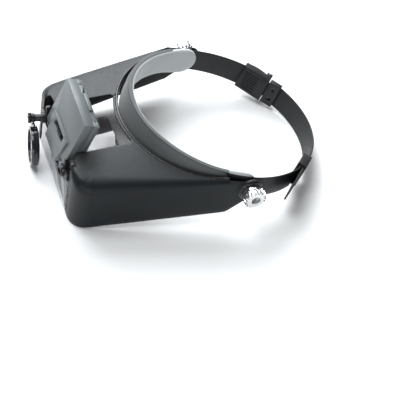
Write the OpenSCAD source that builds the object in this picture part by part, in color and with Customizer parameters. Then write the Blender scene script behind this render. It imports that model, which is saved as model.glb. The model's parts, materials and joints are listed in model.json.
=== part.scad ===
// Head visor magnifier: a tilting visor with a clear front lens, a flip-in lens, a swing loupe
// and a battery lamp, carried by a padded headband with buckles.
// Frame: origin midway between the two tilt pivots, X to the wearer's left, -Y forward, +Z up.
// The visor and the band are drawn in their own frames and pitched about the pivot axis, so
// that the visor's front edge and the band's rear edge rest on one level surface.

/* [Pose] */
// Nose-down pitch of the visor about the pivot axis, degrees
visor_pitch = 6.5; // [0:0.5:10]
// Tail-down pitch of the headband about the pivot axis, degrees
band_pitch = 16.75; // [10:0.25:20]
// Angle of the raised lamp above the visor's base plane, degrees
lamp_raise = 62.7; // [-3:0.1:80]

/* [Visor] */
// Reach of the front face ahead of the pivot axis
reach = 165; // [150:1:180]
// Half width of the side walls at the rear knee
knee_half = 92.5; // [90:0.5:100]
// Distance of the rear knee ahead of the pivot axis
knee_y = 24.7; // [20:0.1:35]
// Splay of each side wall, degrees from straight ahead
side_splay = 9.9; // [8:0.1:12]
// Radius of the front corners in plan
corner_r = 19; // [10:1:25]
// Drop of the bottom rim below the pivot axis
rim_drop = 22; // [18:0.5:26]
// Height of the roof's crown above the pivot axis, 100 mm ahead of it
crown_z = 36.3; // [30:0.1:42]
// Fall of the crown towards the rear, degrees
crown_fall = 3.6; // [0:0.1:6]
// Radius of the roof's side-to-side crown
crown_r = 385; // [300:5:600]
// Wall thickness of the visor
wall = 2.4; // [1.6:0.1:3]
// Lean of the front face, bottom edge forward, degrees
front_lean = 9; // [0:0.5:12]
// Half width of the roof opening
hatch_half = 32; // [31.8:0.1:34]
// Width of the roof left between the opening and the curved rear rim
hatch_bar = 4.5; // [4:0.5:12]
// Half width of the curved rear rim at the pivots
rim_a = 90; // [89:0.5:92]
// Depth of the curved rear rim at the centre
rim_b = 95; // [94:0.5:100]

/* [Headband] */
// Half width of the band's outer face
band_a = 88.2; // [84:0.1:88.4]
// Half length of the band's outer face
band_b = 98.3; // [92:0.1:100]
// Height of the band
band_h = 24; // [20:0.5:28]
// Thickness of the band
band_t = 1.6; // [1.2:0.1:2]
// Height of the brow pad
pad_h = 27; // [25:0.5:32]
// Thickness of the foam inside the band
foam_t = 5.5; // [4:0.5:8]

/* [Pivots] */
// Diameter of the pivot bolts
bolt_d = 5; // [4:0.5:6]
// Outside radius of the thumb knobs
knob_r = 10.6; // [8:0.1:13]
// Teeth around each thumb knob
knob_teeth = 16; // [12:1:24]

/* [Lamp] */
// Half width of the lamp case
lamp_half = 31; // [29:0.5:31]
// Depth of the lamp case behind its hinge axis
lamp_depth = 47; // [44:0.5:48]
// Thickness of the lamp case
lamp_t = 14.8; // [13.8:0.1:15]
// Reach of the light hood ahead of the hinge axis
hood_reach = 11.5; // [10:0.1:12]
// Height of the lamp's hinge axis above the pivot axis
lamp_z = 24.2; // [22:0.1:26]
// Distance of the lamp's hinge axis ahead of the pivot axis
lamp_y = 150.8; // [148:0.1:153]

/* [Lenses] */
// Half width of the main lens
lens_half = 46; // [40:0.5:47]
// Height of the main lens
lens_h = 34; // [28:0.5:34]
// Thickness of the lenses
lens_t = 3; // [2:0.1:3.2]
// Outside diameter of the loupe ring
loupe_d = 38; // [30:0.5:40]
// Distance from the loupe's swing axis to the ring's centre
loupe_arm_l = 28; // [26:0.5:32]
// Angle of the loupe arm from straight down, degrees
loupe_swing = 25; // [0:1:90]
// Depth of the flip-in lens from its hinge to its free edge
flip_depth = 44; // [36:0.5:46]

/* [Hidden] */
$fn = 64;

eps = 0.01;
big = 400;
bolt_r = bolt_d / 2;
run_fit = 0.05;
band_cy = 1.6;
band_mid_a = band_a - band_t / 2;
band_mid_b = band_b - band_t / 2;
arm_in = knee_half - wall / cos(side_splay);
boss_r = 12.5;
boss_out = knee_half + 0.6;
knob_in = boss_out + 1.2;
knob_out = knob_in + 11;

// ---- frames ----
module in_visor() rotate([visor_pitch, 0, 0]) children();
module in_band() rotate([-band_pitch, 0, 0]) children();
module in_lamp() in_visor() translate([0, -lamp_y, lamp_z]) rotate([lamp_raise, 0, 0]) children();
module both_sides() {
  children();
  mirror([1, 0, 0]) children();
}
module x_rod(r, x0, x1) translate([x0, 0, 0]) rotate([0, 90, 0]) cylinder(r = r, h = x1 - x0);
module x_ring(ro, ri, x0, x1) difference() {
  x_rod(ro, x0, x1);
  x_rod(ri, x0 - 1, x1 + 1);
}
module box(x0, x1, y0, y1, z0, z1) translate([x0, y0, z0]) cube([x1 - x0, y1 - y0, z1 - z0]);

// ---- headband ----
// Point on an ellipse, the angle taken from the rear towards the wearer's left.
function oval(a, b, t) = [a * sin(t), band_cy + b * cos(t)];
function arc_pts(a, b, t0, t1, n) = [for (i = [0:n]) oval(a, b, t0 + (t1 - t0) * i / n)];
function unit(v) = v / norm(v);
function heading(p, i) = unit(p[min(i + 1, len(p) - 1)] - p[max(i - 1, 0)]);
function beside(p, d) = [for (i = [0:len(p) - 1]) p[i] + d * [heading(p, i)[1], -heading(p, i)[0]]];
function backwards(p) = [for (i = [len(p) - 1:-1:0]) p[i]];
module strip(p, d0, d1, h) linear_extrude(height = h, center = true)
  polygon(concat(beside(p, d0), backwards(beside(p, d1))));

front_end = 56;         // where the front band leaves the oval for the adjuster
latch_end = 48;         // the front band's end inside the right buckle
pad_end = 87;           // the foam tongue's ends
tongue_end = 108;       // where the tall ear tongue meets the brow section
tongue_h = 30;
cover_end = 106;        // where the outer cover stops and the bare band shows
exit_t = 40;            // where the rear band leaves the oval and runs straight
exit_p = oval(band_mid_a, band_mid_b, exit_t);
exit_dir = unit([band_mid_a * cos(exit_t), -band_mid_b * sin(exit_t)]);
exit_angle = atan2(exit_dir[1], exit_dir[0]);
tail_l = 55;
adjuster_l = 19;
buckle_l = 30;
buckle_h = 26.6;
far_t = 56;             // the right buckle's front end, degrees from the rear
block_t = 28;           // the strap end block's rear end
tuck = 4;               // how far the rear band runs on inside the block, in degrees
far_p = oval(band_mid_a, band_mid_b, far_t);
block_p = oval(band_mid_a, band_mid_b, block_t);
far_dir = unit(far_p - block_p);
far_angle = atan2(far_dir[1], far_dir[0]);
block_l = norm(far_p - block_p) - buckle_l;

module pivot_holes(r) both_sides() x_rod(r, 70, 110);

// Path of the front band: from inside the left adjuster, round the front, into the right buckle.
function beside_exit(x, y) = exit_p + exit_dir * x + [-exit_dir[1], exit_dir[0]] * y;
front_path = concat([beside_exit(9, -2.8), beside_exit(18, -3)],
                    arc_pts(band_mid_a, band_mid_b, front_end, 360 - latch_end, 84));
module front_band() color([0.07, 0.07, 0.08]) in_band() difference() {
  strip(front_path, -band_t / 2, band_t / 2, band_h);
  pivot_holes(bolt_r + run_fit);
}

module brow_pad() color([0.62, 0.64, 0.64]) in_band() difference() {
  union() {
    strip(arc_pts(band_mid_a, band_mid_b, pad_end, 360 - pad_end, 72),
          band_t / 2 + 0.1, band_t / 2 + foam_t, pad_h);
    both_sides() strip(arc_pts(band_mid_a, band_mid_b, pad_end + 4, tongue_end, 10),
                       band_t / 2 + 0.1, band_t / 2 + foam_t, tongue_h);
    strip(arc_pts(band_mid_a, band_mid_b, cover_end, 360 - cover_end, 48),
          -band_t / 2 - 1.4, band_t / 2 + foam_t, pad_h);
  }
  strip(front_path, -band_t / 2 - 0.1, band_t / 2 + 0.1, band_h + 0.2);
  both_sides() x_rod(8, band_a - band_t - 2.6, 110);
}

module rear_band() color([0.08, 0.08, 0.09]) in_band() {
  arc = arc_pts(band_mid_a, band_mid_b, -block_t - tuck, exit_t, 36);
  strip(concat(arc, [exit_p + exit_dir * tail_l]), -band_t / 2, band_t / 2, band_h - 1);
}

// Buckle frame: +X along the strap towards the front, +Y outwards, Z across the strap.
module in_left_adjuster() in_band()
  translate([exit_p[0], exit_p[1], 0]) rotate([0, 0, exit_angle]) children();
module in_right_buckle() in_band() mirror([1, 0, 0])
  translate([block_p[0], block_p[1], 0]) rotate([0, 0, far_angle]) translate([block_l, 0, 0])
    children();

rib_n = 7;
module buckle_ribs(y) for (i = [0:rib_n - 1])
  box(11, buckle_l - 5, y - 0.1, y + 0.7, -9.4 + i * 3 - 0.6, -9.4 + i * 3 + 0.6);

lever_x = 4;
lever_y = 5.4;
module latch_ears() for (s = [-1, 1]) difference() {
  box(lever_x - 3, lever_x + 3, 2.4, lever_y + 2.2, s * 12.2 - 1.2, s * 12.2 + 1.2);
  translate([lever_x, lever_y, -20]) cylinder(r = 1 + run_fit, h = 40, $fn = 24);
}

module left_adjuster() color([0.06, 0.06, 0.07]) in_left_adjuster() difference() {
  box(0.5, adjuster_l, -6.4, 2.6, -buckle_h / 2, buckle_h / 2);
  box(-1, adjuster_l + 1, -1, 1, -band_h / 2 - 0.2, band_h / 2 + 0.2);
  box(7, adjuster_l + 1, -5, -1 + eps, -band_h / 2 - 0.2, band_h / 2 + 0.2);
  for (i = [0:3]) box(3 + i * 3.6, 4.6 + i * 3.6, 2, 3, -8, 8);
}

module right_buckle() color([0.06, 0.06, 0.07]) in_right_buckle() {
  difference() {
    box(0.6, buckle_l, -3.2, 5.2, -buckle_h / 2, buckle_h / 2);
    box(14, buckle_l + 1, -1.7, 3.6, -band_h / 2 - 0.2, band_h / 2 + 0.2);
    box(-1, 12, -0.4, 3.4, -8.2, 8.2);
    box(12 - eps, 20, 2, 6, -5, 5);
    buckle_ribs(-3.2);
  }
  translate([0, 2.4, 0]) latch_ears();
}

module strap_end_block() color([0.09, 0.09, 0.1]) in_right_buckle() difference() {
  union() {
    box(-block_l + 1.2, -0.4, -3.2, 3.6, -buckle_h / 2 + 0.6, buckle_h / 2 - 0.6);
    box(-1, 11, 0, 3, -7.8, 7.8);
  }
  box(-block_l, -block_l + 7.5, -1.3, 2.6, -band_h / 2, band_h / 2);
  translate([-block_l / 2, 0, 5.5]) rotate([90, 0, 0]) cylinder(r = 1.4, h = 20, center = true);
  translate([-block_l / 2, 0, -5.5]) rotate([90, 0, 0]) cylinder(r = 2.2, h = 20, center = true);
}

// Arched press lever on the outside of a buckle, with a tooth that reaches the strap.
module latch_lever() difference() {
  union() {
    translate([lever_x, lever_y, 0]) cylinder(r = 2.1, h = 21.6, center = true);
    intersection() {
      translate([17, -22.2, 0]) difference() {
        cylinder(r = 31, h = 21.6, center = true, $fn = 120);
        cylinder(r = 28.8, h = 30, center = true, $fn = 120);
      }
      box(lever_x, buckle_l - 1, 3.3, 12, -20, 20);
    }
    box(16.5, 18.5, 0.9, 8, -4, 4);
  }
  translate([lever_x, lever_y, 0]) cylinder(r = 1 + run_fit, h = 30, center = true, $fn = 24);
}
module latch_pin() translate([lever_x, lever_y, 0]) cylinder(r = 1, h = 27, center = true, $fn = 24);
module buckle_latch() color([0.05, 0.05, 0.06]) in_right_buckle() translate([0, 2.4, 0]) latch_lever();
module buckle_latch_pin() color([0.7, 0.7, 0.72]) in_right_buckle() translate([0, 2.4, 0]) latch_pin();

// ---- pivots ----
head_out = band_a - band_t - 0.4;
module pivot_bolt() {
  x_rod(6.5, head_out - 1.9, head_out);
  x_rod(bolt_r, head_out - eps, knob_out - 3.5);
}
module left_pivot_bolt() color([0.75, 0.75, 0.77]) pivot_bolt();
module right_pivot_bolt() color([0.75, 0.75, 0.77]) mirror([1, 0, 0]) pivot_bolt();

module inner_washer() x_ring(9, bolt_r + run_fit, band_a + 0.05, arm_in - 0.15);
module left_inner_washer() color([0.85, 0.85, 0.82]) inner_washer();
module right_inner_washer() color([0.85, 0.85, 0.82]) mirror([1, 0, 0]) inner_washer();

module outer_washer() x_ring(7.5, bolt_r + run_fit, boss_out + 0.1, knob_in - 0.1);
module left_outer_washer() color([0.8, 0.8, 0.82]) outer_washer();
module right_outer_washer() color([0.8, 0.8, 0.82]) mirror([1, 0, 0]) outer_washer();

insert_r = 4;
module thumb_knob() difference() {
  union() {
    x_rod(knob_r - 2.6, knob_in, knob_out - 1);
    x_rod(knob_r - 1.2, knob_out - 6.5, knob_out);
    for (i = [0:knob_teeth - 1]) rotate([i * 360 / knob_teeth, 0, 0])
      box(knob_in + 3.5, knob_out, knob_r - 3.5, knob_r, -1.1, 1.1);
  }
  x_rod(insert_r, knob_in - 1, knob_out + 1);
  x_rod(5.4, knob_out - 2.5, knob_out + 1);
}
module left_knob() color([0.86, 0.87, 0.88]) thumb_knob();
module right_knob() color([0.86, 0.87, 0.88]) mirror([1, 0, 0]) thumb_knob();

module knob_insert() x_ring(insert_r, bolt_r + run_fit, knob_in + 0.5, knob_out - 3);
module left_knob_insert() color([0.8, 0.66, 0.35]) knob_insert();
module right_knob_insert() color([0.8, 0.66, 0.35]) mirror([1, 0, 0]) knob_insert();

// ---- visor ----
side_n = [cos(side_splay), -sin(side_splay)];
knee_p = [knee_half, -knee_y];
corner_cy = -reach + corner_r;
corner_cx = (side_n * knee_p - corner_r - side_n[1] * corner_cy) / side_n[0];
corner_steps = 10;
// Half of the plan outline, inset by d, from the centre of the front to the rear.
function half_plan(d) = concat(
  [[0, -reach + d]],
  [for (i = [0:corner_steps])
    let (t = -90 + (90 - side_splay) * i / corner_steps)
      [corner_cx + (corner_r - d) * cos(t), corner_cy + (corner_r - d) * sin(t)]],
  [[knee_half - d / side_n[0], -knee_y], [knee_half - d / side_n[0], 30]]);
function mirrored(p) = [for (q = backwards(p)) [-q[0], q[1]]];
module plan_block(d) translate([0, 0, -rim_drop - 1])
  linear_extrude(height = 90) polygon(concat(half_plan(d), mirrored(half_plan(d))));

// Solid below a surface parallel to the roof's outside, d under it.
module under_roof(d) translate([0, -100, crown_z]) rotate([-crown_fall, 0, 0])
  translate([0, 0, -crown_r]) rotate([90, 0, 0])
    cylinder(r = crown_r - d, h = 300, center = true, $fn = 240);
// Space behind the leaning front face, d inside it.
module behind_front(d) translate([0, -reach, -rim_drop]) rotate([-front_lean, 0, 0])
  translate([-big / 2, d, -100]) cube([big, big, 300]);
module side_profile() {
  rotate([90, 0, 90]) linear_extrude(height = big, center = true) polygon([
    [-reach - 20, -rim_drop], [-knee_y, -rim_drop], [-5, -11.6], [-5, 12.3],
    [-knee_y + 4, 19], [-knee_y - 6, 60], [-reach - 20, 60]]);
  x_rod(boss_r, -big / 2, big / 2);
}
module rear_oval(a, b) linear_extrude(height = 300, center = true)
  polygon([for (i = [0:95]) [a * sin(i * 3.75), b * cos(i * 3.75)]]);

slot_w = 6.2;
module visor_shell() color([0.1, 0.11, 0.12]) in_visor() difference() {
  union() {
    difference() {
      intersection() {
        plan_block(0);
        under_roof(0);
        behind_front(0);
        side_profile();
      }
      intersection() {
        plan_block(wall);
        under_roof(wall);
        behind_front(wall);
      }
      rear_oval(rim_a, rim_b);
    }
    // bead under and over the curved rear edge
    intersection() {
      difference() {
        rear_oval(rim_a + 2.4, rim_b + 2.4);
        rear_oval(rim_a, rim_b);
      }
      difference() {
        under_roof(-0.8);
        under_roof(5);
      }
      box(-89, 89, -120, -16, -10, 60);
    }
    both_sides() x_rod(boss_r - 1, knee_half - 0.5, boss_out);
  }
  both_sides() x_rod(bolt_r + run_fit, 80, 120);
  // roof opening and the notches above the lamp's hinge sockets
  difference() {
    box(-hatch_half, hatch_half, -reach - 10, -rim_b * 0.9, 6, 60);
    rear_oval(rim_a + hatch_bar, rim_b + hatch_bar);
  }
  both_sides() box(hatch_half - 1, hatch_half + 4.4, -lamp_y - 4.2, -lamp_y + 4.2, 12, 60);
  // front opening, with a slot for each of the lens's side tabs
  box(-lens_half + 3, lens_half - 3, -reach - 10, -reach + 16, -rim_drop - 5, 60);
  on_front() box(-lens_half - 0.2, lens_half + 0.2, -1, lens_t - 1, -5, lens_h + 0.3);
  on_front() both_sides() for (z = [10, 24])
    box(lens_half - 1, lens_half + 3.3, -1, 1.6, z - 1.7, z + 1.7);
}

// Front face frame: X across, Y inwards from the face, Z up the face from the rim.
module on_front() translate([0, -reach, -rim_drop]) rotate([-front_lean, 0, 0]) children();

module main_lens() color([0.85, 0.9, 1, 0.45]) in_visor() on_front() {
  box(-lens_half, lens_half, -0.6, lens_t - 1.1, 0.6, lens_h);
  both_sides() for (z = [10, 24]) box(lens_half - eps, lens_half + 3, -0.4, 1.5, z - 1.5, z + 1.5);
}

flip_y = 145;
flip_z = 8;
cheek_in = hatch_half + 0.2;
cheek_out = cheek_in + 2.6;
module hinge_cheek() difference() {
  intersection() {
    union() {
      box(cheek_in, cheek_out, -lamp_y - 7, -lamp_y + 14, flip_z - 5, 50);
      box(cheek_in, cheek_out + 5.5, -lamp_y + 5, -lamp_y + 14, 22, 50);
    }
    under_roof(wall + 0.05);
  }
  translate([0, -lamp_y, lamp_z]) x_rod(slot_w / 2, 20, 50);
  box(20, 50, -lamp_y - slot_w / 2, -lamp_y + slot_w / 2, lamp_z, 60);
  translate([0, -flip_y, flip_z]) x_rod(1.5 + run_fit, 20, 50);
  translate([cheek_out + 3, -lamp_y + 9.5, 0]) cylinder(r = 1.1, h = 60, $fn = 24);
}
module left_hinge_cheek() color([0.07, 0.07, 0.08]) in_visor() hinge_cheek();
module right_hinge_cheek() color([0.07, 0.07, 0.08]) in_visor() mirror([1, 0, 0]) hinge_cheek();

module cheek_screws() color([0.6, 0.6, 0.62]) in_visor() both_sides()
  translate([cheek_out + 3, -lamp_y + 9.5, 0]) {
    translate([0, 0, 20]) cylinder(r = 2, h = 2 - eps, $fn = 24);
    translate([0, 0, 22 - 2 * eps]) cylinder(r = 1.1, h = 8, $fn = 24);
  }

// ---- loupe ----
mount_x = 34;
mount_z = 22;
loupe_lean = -9;
loupe_splay = 8;
tube_r = 3.5;
module in_loupe_mount() in_visor() mirror([1, 0, 0])
  translate([mount_x, -reach + 4.2, mount_z]) rotate([loupe_lean, 0, loupe_splay]) children();
module in_loupe() in_loupe_mount() rotate([0, loupe_swing, 0]) children();
module y_rod(r, y0, y1) translate([0, y1, 0]) rotate([90, 0, 0]) cylinder(r = r, h = y1 - y0);
module y_ring(ro, ri, y0, y1) difference() {
  y_rod(ro, y0, y1);
  y_rod(ri, y0 - 1, y1 + 1);
}

tube_l = 8.6;
arm_y = -tube_l - 2.4;
// Each mount is a bored boss on a tab that lies on the visor's front face beside the opening.
module mount_boss() y_rod(5, -3, 2);
module mount_tab() in_visor() on_front() box(mount_x + 2, mount_x + 11, -2, -0.05, 41.5, 47.5);
module left_loupe_mount() color([0.06, 0.06, 0.07]) difference() {
  union() {
    mount_tab();
    mirror([1, 0, 0]) in_loupe_mount() {
      mount_boss();
      translate([0, 2, 0]) rotate([90, 0, 0]) linear_extrude(height = 4)
        polygon([[-5, 4], [5, 4], [5, -1], [-2, -8]]);
    }
  }
  mirror([1, 0, 0]) in_loupe_mount() y_rod(tube_r, -6, 6);
}
module right_loupe_mount() color([0.06, 0.06, 0.07]) difference() {
  union() {
    mirror([1, 0, 0]) mount_tab();
    in_loupe_mount() {
      mount_boss();
      y_rod(tube_r, -tube_l, -3 + eps);
      box(-1.2, 1.2, -2.6, -0.8, -27, -3);
    }
  }
  in_loupe_mount() y_rod(1.5 + run_fit, -20, 1);
}

ring_y = arm_y + 1.6;
ring_depth = 7.4;
module loupe_arm() color([0.08, 0.08, 0.09]) in_loupe() difference() {
  union() {
    y_rod(4.4, arm_y, arm_y + 2.2);
    box(-1.5, 1.5, arm_y + 0.4, arm_y + 1.8, -loupe_arm_l + loupe_d / 2 + 2, -3);
  }
  y_rod(1.5 + run_fit, -20, -8);
}
module loupe_collar() color([0.8, 0.8, 0.8]) in_loupe() difference() {
  translate([0, arm_y + 1.1, -loupe_arm_l + loupe_d / 2 - 0.3]) cylinder(r = 2.1, h = 3.6, $fn = 32);
  translate([0, arm_y + 1.1, -loupe_arm_l + loupe_d / 2 + 2]) cube([3.2, 1.6, 6], center = true);
  translate([0, 0, -loupe_arm_l]) y_rod(loupe_d / 2, -30, 0);
}
module loupe_ring() color([0.05, 0.05, 0.06]) in_loupe() translate([0, 0, -loupe_arm_l]) difference() {
  y_rod(loupe_d / 2, ring_y - ring_depth / 2, ring_y + ring_depth / 2);
  y_rod(loupe_d / 2 - 3, ring_y - 10, ring_y + 10);
  y_rod(loupe_d / 2 - 1.8, ring_y - 10, ring_y + 2.2);
}
module loupe_lens() color([0.85, 0.88, 0.95, 0.4]) in_loupe() translate([0, 0, -loupe_arm_l])
  y_rod(loupe_d / 2 - 1.85, ring_y - 2, ring_y + 2.15);
module loupe_retainer() color([0.1, 0.1, 0.11]) in_loupe() translate([0, 0, -loupe_arm_l])
  y_ring(loupe_d / 2 - 1.85, loupe_d / 2 - 3.2, ring_y - 3.6, ring_y - 2.05);
loupe_teeth = 10;
module loupe_knob() color([0.12, 0.12, 0.13]) in_loupe_mount() {
  y_rod(3.9, arm_y - 4, arm_y - 0.2);
  y_rod(1.5, arm_y - 0.3, -1);
  for (i = [0:loupe_teeth - 1]) rotate([0, i * 360 / loupe_teeth, 0])
    box(3, 4.9, arm_y - 4, arm_y - 0.8, -0.8, 0.8);
}

// ---- flip-in lens ----
flip_half = 30;
module in_flip() in_visor() translate([0, -flip_y, flip_z]) children();
module flip_frame() color([0.07, 0.07, 0.08]) in_flip() difference() {
  union() {
    x_rod(2.6, -hatch_half + 0.6, hatch_half - 0.6);
    box(-flip_half, flip_half, 0, 6.5, -2.2, 2.2);
  }
  box(-flip_half + 2, flip_half - 2, 3, 8, -lens_t / 2 + 0.3, lens_t / 2 - 0.3);
  x_rod(1.5, -hatch_half, -hatch_half + 8);
  x_rod(1.5, hatch_half - 8, hatch_half);
}
module flip_lens() color([0.8, 0.82, 0.86, 0.4]) in_flip() intersection() {
  box(-flip_half + 2, flip_half - 2, 3, flip_depth, -lens_t / 2 + 0.3, lens_t / 2 - 0.3);
  union() {
    box(-flip_half + 6, flip_half - 6, 0, flip_depth, -5, 5);
    box(-flip_half, flip_half, 0, flip_depth - 4, -5, 5);
    both_sides() translate([flip_half - 6, flip_depth - 4, -5]) cylinder(r = 4, h = 10);
  }
}
module flip_pins() color([0.7, 0.7, 0.72]) in_flip() both_sides()
  x_rod(1.5, hatch_half - 7.9, cheek_out - 0.1);

// ---- lamp ----
lamp_r = lamp_t / 2;
hub_r = 3;
case_wall = 1.6;
split_z = -2;
plat_h = 2;
hood_half = 17;
plat_half = 22;
plat_y = 16;

module lamp_hubs() color([0.55, 0.57, 0.58]) in_lamp() both_sides() difference() {
  union() {
    x_rod(hub_r, 22.1, cheek_out - 0.1);
    x_rod(5.2, lamp_half + 0.1, lamp_half + 0.9);
  }
  box(cheek_out - 1.6, cheek_out + 1, -0.6, 0.6, -9, 9);
}

module hood_plan() polygon([
  [-hood_half, -hood_reach], [hood_half, -hood_reach], [plat_half, plat_y], [-plat_half, plat_y]]);
module case_solid() {
  box(-lamp_half, lamp_half, 0, lamp_depth, -lamp_r, lamp_r);
  x_rod(lamp_r, -lamp_half, lamp_half);
  translate([0, 0, -lamp_r]) linear_extrude(height = lamp_t + plat_h) intersection() {
    hood_plan();
    translate([-50, -50]) square([100, 50]);
  }
  translate([0, 0, lamp_r - eps]) linear_extrude(height = plat_h + eps) hood_plan();
}
module case_hollow() {
  w = case_wall;
  box(-lamp_half + w, lamp_half - w, 8.5, lamp_depth - w, -lamp_r - 1, lamp_r - w);
  box(-hood_half + w, hood_half - w, -hood_reach - 1, 9, -lamp_r + w, lamp_r - w + 0.6);
}
cover_half = 24;
cover_y0 = 12;
rail_z0 = -5;
module top_region() box(-50, 50, -50, 100, split_z, 30);
module lamp_top_case() color([0.5, 0.52, 0.52]) in_lamp() difference() {
  intersection() {
    case_solid();
    union() {
      top_region();
      box(-50, 50, -50, 6, 0, 30);
    }
  }
  case_hollow();
  // switch slot
  box(-13, 13, 7.5, 13.5, 0, 20);
  both_sides() x_rod(hub_r + run_fit, 22, 50);
}
module lamp_bottom_case() color([0.5, 0.52, 0.52]) in_lamp() difference() {
  intersection() {
    case_solid();
    box(-50, 50, -50, 100, -30, split_z - 0.05);
  }
  case_hollow();
  both_sides() x_rod(hub_r + run_fit, 22, 50);
  box(-cover_half - 0.15, cover_half + 0.15, cover_y0 - 0.15, 100, -30, split_z + 1);
  box(-cover_half - 1.05, cover_half + 1.05, cover_y0 - 0.15, 100, rail_z0 - 0.15, rail_z0 + 1.35);
}
module battery_cover() color([0.52, 0.54, 0.54]) in_lamp() difference() {
  union() {
    box(-cover_half, cover_half, cover_y0, lamp_depth, -lamp_r, split_z - 0.2);
    box(-cover_half - 0.9, cover_half + 0.9, cover_y0, lamp_depth - 3, rail_z0, rail_z0 + 1.2);
    box(-11, 11, lamp_depth - eps, lamp_depth + 1.6, -lamp_r + 1, split_z - 0.4);
  }
  box(-cover_half + 1.4, cover_half - 1.4, cover_y0 - 1, lamp_depth - 1.6, -lamp_r + 1.5, 10);
  // side walls stop at the rails, clear of the contacts
  box(-cover_half - 1, cover_half + 1, cover_y0 - 1, lamp_depth - 1.6, rail_z0 + 1.2, 10);
}
module light_window() color([0.75, 0.85, 1, 0.5]) in_lamp()
  box(-hood_half + case_wall + 0.1, hood_half - case_wall - 0.1,
      -hood_reach + 0.4, -hood_reach + 1.8, -lamp_r + case_wall + 0.1, lamp_r - case_wall + 0.5);
led_x = 7;
module reflector() color([0.9, 0.92, 0.95]) in_lamp() difference() {
  box(-14, 14, -6.6, -1.6, -5.4, 5.6);
  both_sides() translate([led_x, 0, 0]) {
    y_rod(4.6, -7, -4);
    y_rod(2.7, -8, 0);
  }
}
module led_board() color([0.1, 0.35, 0.18]) in_lamp() box(-14, 14, -1.5, -0.1, -5.4, 5.6);
module leds() color([0.9, 0.95, 1]) in_lamp() both_sides() translate([led_x, 0, 0]) {
  y_rod(2.5, -4.6, -1.55);
  translate([0, -4.6, 0]) sphere(r = 2.5);
}
module switch_body() color([0.15, 0.15, 0.16]) in_lamp() difference() {
  box(-13.6, 13.6, 7.2, 13.8, 0.6, lamp_r - case_wall - 0.1);
  box(-12, 12, 8.6, 12.4, 2.4, 10);
}
slider_x = 2.6;
module switch_slider() color([0.05, 0.05, 0.06]) in_lamp() {
  box(slider_x - 4.6, slider_x + 4.6, 8.8, 12.2, 2.6, lamp_r + plat_h - 0.6);
  for (i = [-2:2]) box(slider_x + i * 1.9 - 0.5, slider_x + i * 1.9 + 0.5, 8.8, 12.2,
                       lamp_r + plat_h - 0.7, lamp_r + plat_h + 0.8);
}
cell_r = 5.2;
cell_y = [21, 32.6];
module batteries() color([0.75, 0.6, 0.3]) in_lamp() for (y = cell_y) translate([0, y, -0.1]) {
  x_rod(cell_r, -22, 21.4);
  x_rod(1.9, 21.3, 22.2);
}
contact_z = -3.4;
module battery_contacts() color([0.8, 0.8, 0.78]) in_lamp() {
  box(22.3, 22.9, 15, 38.5, contact_z, 4);
  for (y = cell_y) translate([-24.2, y, -0.1]) x_ring(2.8, 1.8, 0, 2.1);
  box(-24.9, -24.3, 15, 38.5, contact_z, 4);
}
module lamp_screws() color([0.6, 0.6, 0.62]) in_lamp() both_sides()
  translate([27, 40, -lamp_r]) {
    cylinder(r = 1.6, h = 1.4, $fn = 24);
    cylinder(r = 0.9, h = 7, $fn = 24);
  }

// ---- assembly ----
front_band();
brow_pad();
rear_band();
left_adjuster();
right_buckle();
strap_end_block();
buckle_latch();
buckle_latch_pin();
left_pivot_bolt();
right_pivot_bolt();
left_inner_washer();
right_inner_washer();
left_outer_washer();
right_outer_washer();
left_knob();
right_knob();
left_knob_insert();
right_knob_insert();
visor_shell();
main_lens();
left_hinge_cheek();
right_hinge_cheek();
cheek_screws();
left_loupe_mount();
right_loupe_mount();
lamp_hubs();
lamp_top_case();
lamp_bottom_case();
light_window();
reflector();
led_board();
leds();
switch_body();
switch_slider();
battery_cover();
batteries();
battery_contacts();
lamp_screws();
loupe_arm();
loupe_ring();
loupe_lens();
loupe_retainer();
loupe_collar();
loupe_knob();
flip_frame();
flip_lens();
flip_pins();
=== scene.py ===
"""Looks of the head visor magnifier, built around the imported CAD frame. Lengths are millimetres
in the shape code and turn into metres where a mesh is made."""

import json
import math

import bmesh
import bpy
from mathutils import Matrix, Vector, noise


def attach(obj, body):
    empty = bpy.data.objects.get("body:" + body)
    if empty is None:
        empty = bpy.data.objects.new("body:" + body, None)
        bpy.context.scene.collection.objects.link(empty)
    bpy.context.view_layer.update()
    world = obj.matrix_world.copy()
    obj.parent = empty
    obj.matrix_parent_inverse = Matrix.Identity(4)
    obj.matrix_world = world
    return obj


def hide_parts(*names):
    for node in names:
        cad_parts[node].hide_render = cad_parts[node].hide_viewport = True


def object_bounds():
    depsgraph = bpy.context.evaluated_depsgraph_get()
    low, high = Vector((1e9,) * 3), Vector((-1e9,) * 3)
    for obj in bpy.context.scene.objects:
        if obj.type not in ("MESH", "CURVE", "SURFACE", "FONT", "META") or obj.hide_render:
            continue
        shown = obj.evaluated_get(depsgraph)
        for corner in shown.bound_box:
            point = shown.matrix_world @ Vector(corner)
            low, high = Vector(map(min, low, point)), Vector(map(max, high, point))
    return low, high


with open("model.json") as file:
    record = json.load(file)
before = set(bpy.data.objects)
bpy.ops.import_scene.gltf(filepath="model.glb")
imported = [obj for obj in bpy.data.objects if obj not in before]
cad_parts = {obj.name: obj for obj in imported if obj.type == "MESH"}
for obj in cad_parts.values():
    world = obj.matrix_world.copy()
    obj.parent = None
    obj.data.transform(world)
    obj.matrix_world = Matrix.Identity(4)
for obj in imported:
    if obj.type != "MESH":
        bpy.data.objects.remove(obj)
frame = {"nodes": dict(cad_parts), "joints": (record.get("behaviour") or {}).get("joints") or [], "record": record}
CAD_BOX = [list(corner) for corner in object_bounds()]
MM = 0.001
SCENE = bpy.context.scene
JOINTS = {j["name"]: j for j in frame["joints"]}

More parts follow.
